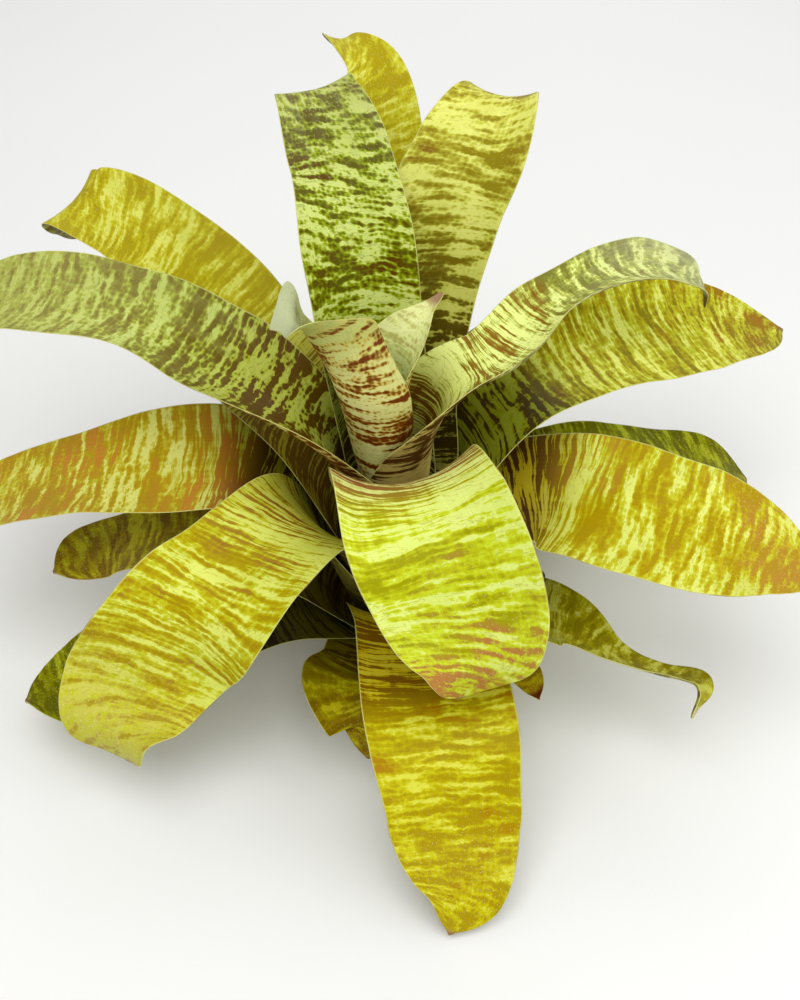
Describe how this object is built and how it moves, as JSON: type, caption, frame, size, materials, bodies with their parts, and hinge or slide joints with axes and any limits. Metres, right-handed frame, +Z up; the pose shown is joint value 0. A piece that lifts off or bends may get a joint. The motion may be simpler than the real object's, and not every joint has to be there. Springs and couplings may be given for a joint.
{
  "type": "banded bromeliad rosette",
  "caption": "Tank bromeliad rosette with broad arching strap leaves, cross-banded in olive and rust, sheaths nested round one short stem cut flat at the base.",
  "frame": {"origin": "middle of the stem's flat cut foot, which the plant rests on", "axes": "+Z up along the stem, -Y towards the front leaf that reaches towards the viewer, +X to the rosette's right"},
  "size_m": [0.3435, 0.2658, 0.2167],
  "materials": {
    "inner_leaf": "satin leaf skin, pale lime with dark green and red-brown cross bands and a grey bloom",
    "outer_leaf": "satin leaf skin, lime-yellow with olive, ochre and rust cross bands",
    "under_leaf": "satin leaf skin, dark olive with weak cross bands",
    "stem": "rough brown fibrous stem with old leaf scars and a pale cut foot"
  },
  "bodies": {
    "root": {"heart_leaf": "inner_leaf", "rolled_leaf": "inner_leaf", "leaf_right_hooked": "inner_leaf", "leaf_back_tall": "inner_leaf", "leaf_left_upper": "inner_leaf", "leaf_back_right": "inner_leaf", "leaf_front": "inner_leaf", "leaf_right_upper": "outer_leaf", "leaf_back_left": "outer_leaf", "leaf_right_front": "outer_leaf", "leaf_left_front": "outer_leaf", "leaf_left": "outer_leaf", "leaf_back_far": "outer_leaf", "leaf_front_under": "outer_leaf", "leaf_right_under": "under_leaf", "leaf_right_drooping": "under_leaf", "leaf_left_under": "under_leaf", "leaf_left_low": "under_leaf", "leaf_front_left_under": "under_leaf", "leaf_front_right_under": "under_leaf", "leaf_back_low_left": "under_leaf", "leaf_back_low_right": "under_leaf", "stem": "stem"}
  },
  "joints": []
}
